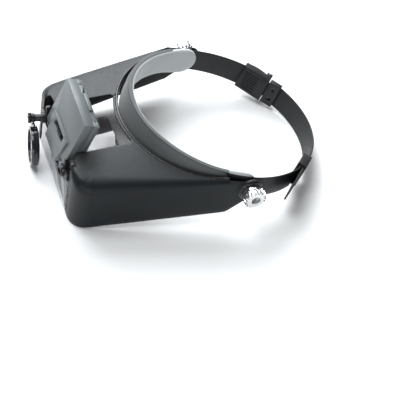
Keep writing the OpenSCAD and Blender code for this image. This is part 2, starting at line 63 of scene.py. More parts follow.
# ---- driving dimensions, as in the CAD ----
REACH, RIM_DROP = 165.0, 22.0
KNEE = (92.5, -24.7)
SPLAY = math.radians(9.9)
LEAN = math.radians(9.0)
CORNER_R = 19.0
CROWN_Z, CROWN_R, CROWN_FALL = 36.3, 385.0, math.radians(3.6)
WALL = 2.4
HATCH_HALF, OPEN_HALF, HATCH_BAR = 32.0, 43.0, 4.5
RIM_A, RIM_B = 90.0, 95.0
BOSS_R = 12.5
BAND_A, BAND_B, BAND_CY, BAND_T, BAND_H = 87.4, 97.5, 1.6, 1.6, 24.0
LENS_HALF, LENS_H, LENS_T = 46.0, 34.0, 3.0
PILLAR_X = LENS_HALF + 0.2
KNOB_IN, KNOB_OUT, KNOB_R, KNOB_TEETH = 94.3, 105.3, 10.6, 16
TOOTH_H = 2.0
FLIP_Y, FLIP_Z = 145, 8
LOUPE_R, LOUPE_ARM, LOUPE_SWING = 19.0, 28.0, math.radians(25)

# ---- frames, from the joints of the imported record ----
up = Vector(JOINTS["lamp_detach"]["axis"])
PITCH = math.atan2(-up.y, up.z)
BAND_PITCH = -math.radians(16.75)
VISOR = Matrix.Rotation(PITCH, 4, "X")
BAND = Matrix.Rotation(BAND_PITCH, 4, "X")
MIRROR = Matrix.Diagonal((-1, 1, 1, 1))


def rot(angle, axis):
    return Matrix.Rotation(angle, 4, axis)


def shift(x, y, z):
    return Matrix.Translation((x, y, z))


FRONT = VISOR @ shift(0, -REACH, -RIM_DROP) @ rot(-LEAN, "X")
LOUPE_MOUNT = (VISOR @ MIRROR @ shift(34, -REACH + 4.2, 22) @ rot(math.radians(8), "Z")
               @ rot(math.radians(-9), "X"))
LOUPE = LOUPE_MOUNT @ rot(LOUPE_SWING, "Y")
FLIP = VISOR @ shift(0, -FLIP_Y, FLIP_Z)


# ---- mesh helpers ----
def finish_mesh(name, me, body, material, sharp=35):
    bm = bmesh.new()
    bm.from_mesh(me)
    bmesh.ops.remove_doubles(bm, verts=bm.verts, dist=1e-6)
    bmesh.ops.dissolve_degenerate(bm, edges=bm.edges, dist=1e-7)
    bmesh.ops.recalc_face_normals(bm, faces=bm.faces)
    bm.to_mesh(me)
    bm.free()
    for p in me.polygons:
        p.use_smooth = True
    me.set_sharp_from_angle(angle=math.radians(sharp))
    ob = bpy.data.objects.new(name, me)
    SCENE.collection.objects.link(ob)
    me.materials.clear()
    me.materials.append(material)
    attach(ob, body)
    return ob


def piece(name, place, verts, faces, body, material, sharp=35):
    """A piece from points in millimetres in the frame that place maps to the row frame."""
    me = bpy.data.meshes.new(name)
    me.from_pydata([(place @ Vector(v)) * MM for v in verts], [], faces)
    return finish_mesh(name, me, body, material, sharp)


def bevelled(ob, width):
    """Rounds the sharp edges by width in millimetres."""
    m = ob.modifiers.new("bevel", "BEVEL")
    m.width = width * MM
    m.segments = 2
    m.limit_method = "ANGLE"
    m.angle_limit = math.radians(30)
    m.use_clamp_overlap = True
    m.miter_outer = "MITER_ARC"
    dg = bpy.context.evaluated_depsgraph_get()
    me = bpy.data.meshes.new_from_object(ob.evaluated_get(dg))
    ob.modifiers.clear()
    ob.data = me
    for p in me.polygons:
        p.use_smooth = True
    ob.data.set_sharp_from_angle(angle=math.radians(40))


def tube_faces(rings, count, closed=True, caps=True, base=0):
    """Quads between rings of count points, and an n-gon on each end."""
    faces = []
    for i in range(rings - 1):
        for j in range(count if closed else count - 1):
            a = base + i * count + j
            b = base + i * count + (j + 1) % count
            faces.append((a, b, b + count, a + count))
    if caps:
        faces.append(tuple(base + j for j in range(count))[::-1])
        faces.append(tuple(base + (rings - 1) * count + j for j in range(count)))
    return faces


def lathe(name, place, profile, body, material, axis="X", steps=96, sharp=35):
    """Turns a closed profile of (along, radius) points about an axis."""
    verts = []
    for i in range(steps):
        a = 2 * math.pi * i / steps
        for along, r in profile:
            p = (along, r * math.cos(a), r * math.sin(a))
            verts.append(p if axis == "X" else (p[2], p[0], p[1]) if axis == "Y" else (p[1], p[2], p[0]))
    n = len(profile)
    faces = []
    for i in range(steps):
        for j in range(n):
            a, b = i * n + j, i * n + (j + 1) % n
            c, d = ((i + 1) % steps) * n + (j + 1) % n, ((i + 1) % steps) * n + j
            faces.append((a, b, c, d))
    return piece(name, place, verts, faces, body, material, sharp)


def rounded(points, r, steps=4):
    """Rounds the corners of a closed outline of 2-D points by radius r (one value or one each)."""
    out = []
    n = len(points)
    for i, p in enumerate(points):
        p = Vector(p)
        a, b = Vector(points[i - 1]) - p, Vector(points[(i + 1) % n]) - p
        rad = r[i] if isinstance(r, (list, tuple)) else r
        half = a.angle(b) / 2
        if rad <= 0 or half > math.radians(89):
            out.append(tuple(p))
            continue
        cut = min(rad / math.tan(half), a.length * 0.49, b.length * 0.49)
        rad = cut * math.tan(half)
        a.normalize()
        b.normalize()
        centre = p + (a + b).normalized() * (rad / math.sin(half))
        start, end = p + a * cut - centre, p + b * cut - centre
        turn = start.angle_signed(end)
        for k in range(steps + 1):
            q = start.copy()
            q.rotate(Matrix.Rotation(-turn * k / steps, 2))
            out.append(tuple(centre + q))
    return out


def sweep(name, place, path, section, body, material, closed=False, sharp=35):
    """A section of (outward, up) points carried along a flat path of (x, y) points."""
    verts = []
    n = len(path)
    for i, p in enumerate(path):
        a = path[(i - 1) % n] if closed or i else p
        b = path[(i + 1) % n] if closed or i < n - 1 else p
        d = (Vector(b) - Vector(a)).normalized()
        shape = section(i / (n - 1)) if callable(section) else section
        verts += [(p[0] - d.y * o, p[1] + d.x * o, z) for o, z in shape]
    count = len(verts) // n
    faces = tube_faces(n, count, caps=not closed)
    if closed:
        faces += [((n - 1) * count + j, (n - 1) * count + (j + 1) % count, (j + 1) % count, j)
                  for j in range(count)]
    return piece(name, place, verts, faces, body, material, sharp)


def softened(node, width, material):
    """A copy of a CAD node with its edges rounded, which stands for the node."""
    body = next(b for b, ns in frame["record"]["behaviour"]["bodies"].items() if node in ns)
    bm = bmesh.new()
    bm.from_mesh(frame["nodes"][node].data)
    bmesh.ops.remove_doubles(bm, verts=bm.verts, dist=3e-6)
    bmesh.ops.dissolve_limit(bm, angle_limit=math.radians(1.2), verts=bm.verts, edges=bm.edges,
                             use_dissolve_boundaries=False)
    me = bpy.data.meshes.new(node + "_shape")
    bm.to_mesh(me)
    bm.free()
    ob = finish_mesh(node + "_shape", me, body, material)
    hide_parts(node)
    bevelled(ob, width)


# ---- materials ----
def new_material(name):
    mat = bpy.data.materials.new(name)
    mat.use_nodes = True
    nt = mat.node_tree
    return mat, nt, nt.nodes["Principled BSDF"]


def node(nt, kind, **inputs):
    n = nt.nodes.new(kind)
    for key, value in inputs.items():
        if hasattr(n, key) and key not in n.inputs:
            setattr(n, key, value)
        else:
            n.inputs[key].default_value = value
    return n


def ramp(nt, source, lo, hi, a, b):
    """Maps source from lo..hi to the colours or greys a..b."""
    r = nt.nodes.new("ShaderNodeValToRGB")
    r.color_ramp.elements[0].position = lo
    r.color_ramp.elements[1].position = hi
    for e, c in zip(r.color_ramp.elements, (a, b)):
        e.color = (*c, 1) if isinstance(c, (list, tuple)) else (c, c, c, 1)
    nt.links.new(source, r.inputs["Fac"])
    return r.outputs["Color"]


def noise_tex(nt, coords, scale, detail=3.0, rough=0.5):
    n = node(nt, "ShaderNodeTexNoise", Scale=scale, Detail=detail, Roughness=rough)
    nt.links.new(coords, n.inputs["Vector"])
    return n.outputs["Fac"]


def voronoi_tex(nt, coords, scale):
    n = node(nt, "ShaderNodeTexVoronoi", feature="F1", Scale=scale)
    nt.links.new(coords, n.inputs["Vector"])
    return n.outputs["Distance"]


def bump(nt, bsdf, heights):
    """Stacks bumps, each (height socket, strength, distance in mm or a strength socket)."""
    last = None
    for height, strength, distance in heights:
        b = nt.nodes.new("ShaderNodeBump")
        b.inputs["Distance"].default_value = distance * MM
        if isinstance(strength, (int, float)):
            b.inputs["Strength"].default_value = strength
        else:
            nt.links.new(strength, b.inputs["Strength"])
        nt.links.new(height, b.inputs["Height"])
        if last:
            nt.links.new(last, b.inputs["Normal"])
        last = b.outputs["Normal"]
    nt.links.new(last, bsdf.inputs["Normal"])


def coords_of(nt):
    return nt.nodes.new("ShaderNodeTexCoord").outputs["Object"]


def moulded(name, colour, rough=(0.35, 0.5), grain=(900, 0.25, 0.05), tint=0.85, metallic=0.0,
            specular=0.36, coat=0.0):
    """Moulded plastic or cast metal: mottled colour, uneven gloss and a fine surface grain."""
    mat, nt, bsdf = new_material(name)
    at = coords_of(nt)
    broad = noise_tex(nt, at, 55, 4)
    dark = [c * tint for c in colour]
    nt.links.new(ramp(nt, broad, 0.3, 0.7, dark, colour), bsdf.inputs["Base Color"])
    fine = noise_tex(nt, at, 320, 5, 0.6)
    nt.links.new(ramp(nt, fine, 0.3, 0.7, rough[0], rough[1]), bsdf.inputs["Roughness"])
    bsdf.inputs["Metallic"].default_value = metallic
    bsdf.inputs["Specular IOR Level"].default_value = specular
    bsdf.inputs["Coat Weight"].default_value = coat
    scale, strength, depth = grain
    bump(nt, bsdf, [(noise_tex(nt, at, scale, 2), strength, depth)])
    return mat


def brushed(name, colour, rough=(0.2, 0.34), stretch=(40, 900, 900), depth=0.02):
    """Turned or brushed metal, with fine lines round the part."""
    mat, nt, bsdf = new_material(name)
    m = node(nt, "ShaderNodeMapping")
    m.inputs["Scale"].default_value = stretch
    nt.links.new(coords_of(nt), m.inputs["Vector"])
    lines = noise_tex(nt, m.outputs["Vector"], 1.0, 4, 0.6)
    nt.links.new(ramp(nt, lines, 0.3, 0.7, rough[0], rough[1]), bsdf.inputs["Roughness"])
    nt.links.new(ramp(nt, lines, 0.2, 0.8, [c * 0.85 for c in colour], colour), bsdf.inputs["Base Color"])
    bsdf.inputs["Metallic"].default_value = 1.0
    bump(nt, bsdf, [(lines, 0.15, depth)])
    return mat


def clear(name, colour, rough=0.03):
    """Clear moulded acrylic with faint flow lines."""
    mat, nt, bsdf = new_material(name)
    at = coords_of(nt)
    flow = noise_tex(nt, at, 60, 2)
    nt.links.new(ramp(nt, flow, 0.3, 0.7, [c * 0.97 for c in colour], colour), bsdf.inputs["Base Color"])
    smear = noise_tex(nt, at, 240, 3)
    nt.links.new(ramp(nt, smear, 0.35, 0.75, rough, rough * 2.2), bsdf.inputs["Roughness"])
    bsdf.inputs["IOR"].default_value = 1.49
    bsdf.inputs["Transmission Weight"].default_value = 1.0
    bump(nt, bsdf, [(flow, 0.04, 0.05)])
    return mat


def visor_plastic():
    """Near-black plastic: pebble grain where the surface faces up, satin on the side walls."""
    mat, nt, bsdf = new_material("visor_plastic")
    tc = nt.nodes.new("ShaderNodeTexCoord")
    at = tc.outputs["Object"]
    split = nt.nodes.new("ShaderNodeSeparateXYZ")
    nt.links.new(tc.outputs["Normal"], split.inputs["Vector"])
    top = ramp(nt, split.outputs["Z"], 0.82, 0.97, 0.0, 1.0)
    pebble = voronoi_tex(nt, at, 1600)
    mottle = noise_tex(nt, at, 700, 4, 0.65)
    wide = noise_tex(nt, at, 30, 3)
    nt.links.new(ramp(nt, wide, 0.3, 0.7, (0.0055, 0.0075, 0.0095), (0.0085, 0.0115, 0.0138)),
                 bsdf.inputs["Base Color"])
    rough = nt.nodes.new("ShaderNodeMix")
    rough.data_type = "FLOAT"
    nt.links.new(top, rough.inputs["Factor"])
    nt.links.new(ramp(nt, mottle, 0.3, 0.7, 0.36, 0.44), rough.inputs["A"])
    nt.links.new(ramp(nt, mottle, 0.35, 0.65, 0.34, 0.6), rough.inputs["B"])
    nt.links.new(rough.outputs["Result"], bsdf.inputs["Roughness"])
    nt.links.new(ramp(nt, split.outputs["Z"], 0.5, 0.97, 0.2, 0.36), bsdf.inputs["Specular IOR Level"])
    bump(nt, bsdf, [(noise_tex(nt, at, 420, 3), 0.06, 0.04), (pebble, top, 0.09)])
    return mat


def leatherette(name, colour, sheen=0.3, grain=0.35):
    """Soft coated fabric with fine leather creases."""
    mat, nt, bsdf = new_material(name)
    at = coords_of(nt)
    cells = voronoi_tex(nt, at, 620)
    creases = noise_tex(nt, at, 260, 6, 0.65)
    wide = noise_tex(nt, at, 28, 3)
    nt.links.new(ramp(nt, wide, 0.3, 0.7, [c * 0.86 for c in colour], colour), bsdf.inputs["Base Color"])
    nt.links.new(ramp(nt, creases, 0.35, 0.7, 0.5, 0.68), bsdf.inputs["Roughness"])
    bsdf.inputs["Sheen Weight"].default_value = sheen
    bsdf.inputs["Sheen Roughness"].default_value = 0.4
    bump(nt, bsdf, [(creases, grain, 0.12), (cells, grain * 0.7, 0.1)])
    return mat


def glowing(name, colour, strength):
    """Lit LED epoxy, its colour varied by a soft noise."""
    mat, nt, bsdf = new_material(name)
    at = coords_of(nt)
    glow = noise_tex(nt, at, 400, 2)
    nt.links.new(ramp(nt, glow, 0.3, 0.7, [c * 0.9 for c in colour], colour), bsdf.inputs["Base Color"])
    bsdf.inputs["Roughness"].default_value = 0.15
    bsdf.inputs["Emission Color"].default_value = (*colour, 1)
    bsdf.inputs["Emission Strength"].default_value = strength
    return mat


MAT = {
    "visor": visor_plastic(),
    "rim": moulded("rim_gloss", (0.006, 0.006, 0.007), (0.22, 0.34), (500, 0.08, 0.03), coat=0.2),
    "band": moulded("band_plastic", (0.009, 0.0095, 0.011), (0.38, 0.55), (1400, 0.35, 0.06)),
    "strap": moulded("strap_plastic", (0.016, 0.017, 0.018), (0.42, 0.6), (1500, 0.45, 0.07)),
    "buckle": moulded("buckle_plastic", (0.013, 0.0135, 0.0145), (0.4, 0.55), (1100, 0.3, 0.05)),
    "bracket": moulded("bracket_plastic", (0.008, 0.008, 0.01), (0.3, 0.45), (900, 0.2, 0.04)),
    "cover": leatherette("pad_cover", (0.085, 0.092, 0.094), 0.35, 0.3),
    "lining": leatherette("pad_lining", (0.6, 0.63, 0.635), 0.25, 0.25),
    "thread": moulded("pad_thread", (0.05, 0.055, 0.06), (0.6, 0.8), (2600, 0.6, 0.05)),
    "chrome": brushed("knob_chrome", (0.9, 0.91, 0.92), (0.17, 0.25), (300, 300, 300), 0.003),
    "steel": brushed("plated_steel", (0.42, 0.42, 0.44)),
    "brass": brushed("plated_brass", (0.5, 0.5, 0.5), (0.25, 0.35)),
    "nylon": moulded("washer_nylon", (0.7, 0.7, 0.66), (0.4, 0.5), (700, 0.1, 0.03)),
    "lamp": moulded("lamp_plastic", (0.14, 0.153, 0.158), (0.34, 0.48), (1300, 0.25, 0.04), 0.93, 0.25),
    "hub": moulded("hub_plastic", (0.22, 0.23, 0.24), (0.34, 0.5), (1200, 0.2, 0.04), 0.9, 0.2),
    "switch": moulded("switch_plastic", (0.012, 0.012, 0.014), (0.3, 0.42), (900, 0.2, 0.04)),
    "gloss": moulded("loupe_plastic", (0.012, 0.012, 0.018), (0.12, 0.22), (500, 0.05, 0.02), coat=0.3),
    "lens": clear("lens_acrylic", (0.93, 0.94, 1.0)),
    "flip": clear("flip_acrylic", (0.46, 0.45, 0.48)),
    "window": clear("window_acrylic", (0.78, 0.86, 1.0), 0.06),
    "foil": brushed("reflector_foil", (0.9, 0.92, 0.95), (0.08, 0.16)),
    "board": moulded("board_green", (0.03, 0.16, 0.07), (0.3, 0.4), (800, 0.1, 0.03)),
    "led": glowing("led_epoxy", (0.8, 0.88, 1.0), 4.0),
    "cell": moulded("battery_sleeve", (0.5, 0.36, 0.1), (0.25, 0.35), (600, 0.1, 0.02), metallic=0.6),
    "contact": brushed("contact_plate", (0.7, 0.68, 0.62)),
}


# ---- visor shell ----
def roof_z(x, y):
    """Height of the crowned, slightly falling roof."""
    sag = math.sqrt(CROWN_R ** 2 - x * x) - CROWN_R
    along = (y + 100 - sag * math.sin(CROWN_FALL)) / math.cos(CROWN_FALL)
    return CROWN_Z - along * math.sin(CROWN_FALL) + sag * math.cos(CROWN_FALL)


KNEE_BLEND = 60.0
SIDE_N = Vector((math.cos(SPLAY), -math.sin(SPLAY)))
SIDE_T = Vector((math.sin(SPLAY), math.cos(SPLAY)))
BLEND_L = KNEE_BLEND * math.tan(SPLAY / 2)


def outline(u, z):
    """Point and outward normal of the plan outline at height z. u: 0-1 front pillar, 1-2 corner,
    2-3 side wall, 3-4 rear ear."""
    y0 = -REACH + (z + RIM_DROP) * math.tan(LEAN)
    cy = y0 + CORNER_R
    cx = (SIDE_N.dot(Vector(KNEE)) - CORNER_R - SIDE_N.y * cy) / SIDE_N.x
    if u <= 1:
        return Vector((PILLAR_X + (cx - PILLAR_X) * u, y0)), Vector((0, -1))
    if u <= 2:
        t = math.radians(-90) + (math.radians(90) - SPLAY) * (u - 1)
        n = Vector((math.cos(t), math.sin(t)))
        return Vector((cx, cy)) + n * CORNER_R, n
    start = Vector((cx, cy)) + SIDE_N * CORNER_R
    if u <= 3:
        end = Vector(KNEE) - SIDE_T * BLEND_L
        return start.lerp(end, u - 2), SIDE_N.copy()
    s = (u - 3) * (BLEND_L * 2 + BOSS_R - KNEE[1] - BLEND_L)
    if s < 2 * BLEND_L:
        a = SPLAY * (1 - s / (2 * BLEND_L))
        n = Vector((math.cos(a), -math.sin(a)))
        centre = Vector((KNEE[0] - KNEE_BLEND, KNEE[1] + BLEND_L))
        return centre + n * KNEE_BLEND, n
    return Vector((KNEE[0], KNEE[1] + BLEND_L + s - 2 * BLEND_L)), Vector((1, 0))


def fillet_r(u):
    """Radius of the rounding between side wall and roof."""
    if u <= 2:
        return 5.4 + 6.6 * min(max((u - 0.5) / 1.1, 0), 1) ** 1.5
    if u <= 3:
        return 12.0 + (3.6 - 12.0) * (u - 2) ** 0.8
    return 3.6


def hatch_rear(x):
    """The hatch's rear edge, in plan."""
    return -(RIM_B + HATCH_BAR) * math.sqrt(1 - (x / (RIM_A + HATCH_BAR)) ** 2)


def rim_y(x):
    """The roof's curved rear edge, in plan."""
    return -RIM_B * math.sqrt(1 - (x / RIM_A) ** 2)


CHAMFER = 2.8
BAR_X = HATCH_HALF - CHAMFER
ROOF_END_U = 3.217
ROOF_END_Y, ROOF_END_Z = -20.7, 19.0
RIM_T0 = math.asin(BAR_X / RIM_A)
RIM_T1 = math.acos(-ROOF_END_Y / RIM_B)


def inner_edge(u):
    """The roof's inner edge beside station u: the front opening, the hatch and the rear rim."""
    knots = [
        (0.0, (OPEN_HALF, -149)), (0.3, (36.4, -149)), (0.4, (36.4, -146.6)),
        (0.5, (HATCH_HALF, -146.6)), (1.0, (HATCH_HALF, -143)), (1.5, (HATCH_HALF, -137)),
        (2.0, (HATCH_HALF, -126)), (2.42, (HATCH_HALF, hatch_rear(HATCH_HALF) - CHAMFER)),
        (2.46, (BAR_X, hatch_rear(BAR_X))), (2.52, (BAR_X, rim_y(BAR_X)))]
    if u >= knots[-1][0]:
        f = (u - knots[-1][0]) / (ROOF_END_U - knots[-1][0])
        t = RIM_T0 + (RIM_T1 - RIM_T0) * min(f, 1) ** 0.9
        return Vector((RIM_A * math.sin(t), -RIM_B * math.cos(t)))
    for (u0, a), (u1, b) in zip(knots, knots[1:]):
        if u <= u1:
            return Vector(a).lerp(Vector(b), (u - u0) / (u1 - u0))


def ear_span(y, z_top):
    """Lowest and highest z of the side wall at y, narrowing to the round pivot boss. z_top is
    None behind the roof."""
    circle = math.sqrt(max(BOSS_R ** 2 - y * y, 0)) if abs(y) < BOSS_R else 0.0
    if y >= -5:
        return -circle, circle
    low = -RIM_DROP + (RIM_DROP - 11.6) * max((y - KNEE[1]) / (-5 - KNEE[1]), 0)
    high = z_top
    if z_top is None:
        high = ROOF_END_Z + (12.3 - ROOF_END_Z) * (y - ROOF_END_Y) / (-5 - ROOF_END_Y)
        high = max(high, circle)
    return min(low, -circle), high


def stations():
    """Places along the outline where the skin has a column of points, and where they end the bar."""
    ear_tip = [4 - 0.0417 * (1 - math.cos(i * math.pi / 16)) for i in range(9)]
    us = ([i / 8 for i in range(8)] + [1 + i / 28 for i in range(28)] + [2 + i / 56 for i in range(56)]
          + [3 + i / 24 for i in range(24)] + ear_tip)
    fixed = (0, 0.3, 0.4, 0.5, 2.42, 2.46, 2.52, ROOF_END_U, 4.0)
    us = [u for u in us if min(abs(u - f) for f in fixed) > 0.004]
    return sorted(us + list(fixed))


WALL_ROWS, FILLET_ROWS, ROOF_ROWS = 9, 9, 16
EDGE_ROUND = 0.45


def column(u, ear=False):
    """Points of the skin at station u with their outward normals, up the wall, over the fillet
    and in over the roof; an ear has only its wall."""
    r = fillet_r(u)
    guess = outline(u, 20)[0]
    top = roof_z(guess.x, guess.y) - r
    low, high = ear_span(outline(u, 0)[0].y, None if ear else top)
    out = []
    for k in range(WALL_ROWS + 1):
        z = low + (high - low) * k / WALL_ROWS
        p, n = outline(u, z)
        out.append((Vector((p.x, p.y, z)), Vector((n.x, n.y, 0))))
    if ear:
        return out
    for k in range(1, FILLET_ROWS + 1):
        a = math.pi / 2 * k / FILLET_ROWS
        z = top + r * math.sin(a)
        p, n = outline(u, z)
        q = p - n * r * (1 - math.cos(a))
        lift = roof_z(q.x, q.y) - (top + r)
        normal = Vector((n.x * math.cos(a), n.y * math.cos(a), math.sin(a)))
        out.append((Vector((q.x, q.y, z + lift * (k / FILLET_ROWS) ** 2)), normal))
    q = Vector(out[-1][0][:2])
    e = inner_edge(u)
    for k in range(1, ROOF_ROWS + 1):
        p = q.lerp(e, k / ROOF_ROWS)
        out.append((Vector((p.x, p.y, roof_z(p.x, p.y))), Vector((0, 0, 1))))
    return out


def rounded_edge(p, before, normal, c):
    """Points that carry the skin round its free edge, from the outer face to the inner one."""
    e = (p - before).normalized()
    q = p - normal * WALL
    if c <= 0:
        return [p, q]
    return [p - e * c, p - e * c * 0.3 - normal * c * 0.3, p - normal * c,
            q + normal * c, q - e * c * 0.3 + normal * c * 0.3, q - e * c]


def skin_loop(points, c_start=EDGE_ROUND, c_end=EDGE_ROUND):
    """Closed section of the wall: the outer face, round one edge, back inside, round the other."""
    outer = [p for p, _ in points]
    inner = [p - n * WALL for p, n in points]
    start = rounded_edge(outer[0], outer[1], points[0][1], c_start)
    end = rounded_edge(outer[-1], outer[-2], points[-1][1], c_end)
    return outer[1:-1] + end + inner[1:-1][::-1] + start[::-1]


def loft(loops, verts, faces):
    """Joins closed sections of equal length and caps both ends."""
    base, count = len(verts), len(loops[0])
    for loop in loops:
        verts += [tuple(p) for p in loop]
    faces += tube_faces(len(loops), count, base=base)


def visor_half(verts, faces):
    """One side of the visor: wall and roof in front, then the ear down to the pivot."""
    us = stations()
    front = [column(u) for u in us if u <= ROOF_END_U]
    bar_from = [2.459 < u < 2.521 for u in us if u <= ROOF_END_U]
    loft([skin_loop(c, EDGE_ROUND, 0.001 if bar else EDGE_ROUND) for c, bar in zip(front, bar_from)],
         verts, faces)
    loft([skin_loop(column(u, True)) for u in us if u >= ROOF_END_U], verts, faces)


def visor_bar(verts, faces):
    """The thin bar between the hatch and the rear rim."""
    steps = 56
    loops = []
    for i in range(steps + 1):
        x = BAR_X * math.cos(math.pi * i / steps)
        y0, y1 = hatch_rear(x), rim_y(x)
        row = [(Vector((x, y, roof_z(x, y))), Vector((0, 0, 1)))
               for y in (y0 + (y1 - y0) * k / 4 for k in range(5))]
        loops.append(skin_loop(row))
    loft(loops, verts, faces)


def visor_shell():
    verts, faces = [], []
    visor_half(verts, faces)
    n = len(verts)
    verts += [(-x, y, z) for x, y, z in verts[:n]]
    faces += [tuple(n + i for i in reversed(q)) for q in faces]
    visor_bar(verts, faces)
    ob = piece("visor_body", VISOR, verts, faces, "visor", MAT["visor"], 50)
    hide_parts("visor_shell")
    return ob


def rim_bead():
    """Rounded lip along the curved rear edge of the roof."""
    path = []
    for i in range(121):
        t = RIM_T1 * (-1 + i / 60)
        path.append(((RIM_A + 1.2) * math.sin(t), -(RIM_B + 1.2) * math.cos(t)))
    verts = []
    section = rounded([(-1.2, -5), (1.2, -5), (1.2, 0.7), (-1.2, 0.7)], [0.4, 0.4, 1.1, 1.1], 4)
    for i, p in enumerate(path):
        a, b = Vector(path[max(i - 1, 0)]), Vector(path[min(i + 1, len(path) - 1)])
        d = (b - a).normalized()
        z = roof_z(min(abs(p[0]), 88), p[1])
        verts += [(p[0] - d.y * o, p[1] + d.x * o, z + h) for o, h in section]
    return piece("visor_rim_bead", VISOR, verts, tube_faces(len(path), len(section)), "visor",
                 MAT["rim"])


def pivot_bosses():
    """Round bosses on both sides of the visor, where the knobs clamp it to the band."""
    profile = [(KNEE[0] - WALL - 0.1, 3.0), (KNEE[0] + 0.9, 3.0), (KNEE[0] + 1.3, 3.6), (KNEE[0] + 1.3, 9.6),
               (KNEE[0] + 1.0, 10.9), (KNEE[0] + 0.3, 11.9), (KNEE[0] - 0.6, BOSS_R - 0.1),
               (KNEE[0] - WALL - 0.1, BOSS_R - 0.1)]
    for side, turn in (("left", Matrix.Identity(4)), ("right", MIRROR)):
        lathe(side + "_pivot_boss", turn, profile, "visor", MAT["rim"])


# ---- lenses ----
def slab(name, place, outline_2d, depth, body, material, edge=0.5, dome=0.0):
    """A lens blank in the XZ plane of its frame: bevelled rim, its outer face domed by dome."""
    n = len(outline_2d)
    centre = Vector((sum(p[0] for p in outline_2d) / n, sum(p[1] for p in outline_2d) / n))

    def ring(inset, y):
        pts = []
        for p in outline_2d:
            d = Vector(p) - centre
            pts.append(centre + d * (1 - inset / max(d.length, 1e-6)))
        return [(q.x, y, q.y) for q in pts]

    rings = [ring(edge, depth), ring(edge * 0.3, depth - edge * 0.3), ring(0, depth - edge),
             ring(0, edge), ring(edge * 0.3, edge * 0.3), ring(edge, 0)]
    for k in range(1, 10):
        f = k / 10
        rings.append([(centre.x + (x - centre.x) * (1 - f), -dome * (1 - (1 - f) ** 2),
                       centre.y + (z - centre.y) * (1 - f)) for x, _, z in ring(edge, 0)])
    verts = [v for r in rings for v in r]
    faces = tube_faces(len(rings), n, caps=False)
    faces.append(tuple(range(n)))
    last = (len(rings) - 1) * n
    faces.append(tuple(last + j for j in range(n))[::-1])
    return piece(name, place, verts, faces, body, material, 30)


def main_lens():
    """The front lens, slightly crowned, and the dark tabs that hold its sides."""
    corners = [(-LENS_HALF, 0.6), (LENS_HALF, 0.6), (LENS_HALF, LENS_H), (-LENS_HALF, LENS_H)]
    blank = rounded(corners, 2.0, 5)
    dense = []
    for a, b in zip(blank, blank[1:] + blank[:1]):
        count = max(1, int((Vector(b) - Vector(a)).length / 3))
        dense += [tuple(Vector(a).lerp(Vector(b), i / count)) for i in range(count)]
    ob = slab("front_lens", FRONT @ shift(0, -0.2, 0), dense, LENS_T - 0.9, "visor",
              MAT["lens"], 0.4, 0.4)
    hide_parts("main_lens")
    tabs = [(side * (LENS_HALF + 1.4), z) for side in (-1, 1) for z in (10, 24)]
    verts, faces = [], []
    for x, z in tabs:
        base = len(verts)
        shape = rounded([(x - 1.6, z - 1.5), (x + 1.6, z - 1.5), (x + 1.6, z + 1.5),
                         (x - 1.6, z + 1.5)], 0.5, 3)
        for y, inset in ((-0.4, 0.2), (-0.2, 0), (1.3, 0), (1.5, 0.2)):
            keep = 1 - inset / 1.5
            verts += [(x + (px - x) * keep, y, z + (pz - z) * keep) for px, pz in shape]
        faces += tube_faces(4, len(shape), base=base)
    piece("front_lens_tabs", FRONT, verts, faces, "visor", MAT["switch"])


def flip_lens():
    """The flat flip-in lens, stowed under the roof."""
    half, near, far = 30.0, 3.2, 44.0
    t = LENS_T / 2 - 0.3
    shape = rounded([(-half, near), (half, near), (half, far), (-half, far)], [0.5, 0.5, 5, 5], 8)
    ob = slab("flip_lens_blank", FLIP @ shift(0, 0, t) @ rot(math.radians(-90), "X"), shape, 2 * t,
              "flip_lens", MAT["flip"], 0.4)
    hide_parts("flip_lens")


# ---- loupe ----
def loupe():
    """The loupe's grooved ring and its double convex lens."""
    ring_y = -11 + 1.6
    depth = 7.4
    r = LOUPE_R
    inner = r - 3
    at = LOUPE @ shift(0, 0, -LOUPE_ARM)
    y0, y1 = ring_y - depth / 2, ring_y + depth / 2
    profile = [(y0 + 0.8, inner + 0.1), (y0 + 0.2, inner + 0.5), (y0, inner + 1.1), (y0, r - 0.9),
               (y0 + 0.25, r - 0.35), (y0 + 0.9, r), (y0 + 2.2, r), (y0 + 2.4, r - 0.35),
               (y0 + 2.8, r - 0.35), (y0 + 3.0, r),
               (y1 - 0.9, r), (y1 - 0.25, r - 0.3), (y1, r - 0.9), (y1, r - 1.5), (y1 - 0.3, r - 1.8),
               (ring_y + 2.2, r - 1.8), (ring_y + 2.2, inner)]
    ob = lathe("loupe_ring_shape", at, profile, "loupe", MAT["gloss"], "Y", 128)
    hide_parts("loupe_ring")
    lens_r = r - 1.85
    bulge = 1.4
    back = [(ring_y - 2 + bulge * (k / 12) ** 2, lens_r * k / 12) for k in range(13)]
    front = [(ring_y + 2.15 - bulge * (k / 12) ** 2, lens_r * k / 12) for k in range(12, -1, -1)]
    profile = [(a, max(b, 0.02)) for a, b in back + [(ring_y + 0.7, lens_r)] + front]
    ob = lathe("loupe_lens_shape", at, profile, "loupe", MAT["lens"], "Y", 96, 50)
    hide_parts("loupe_lens")


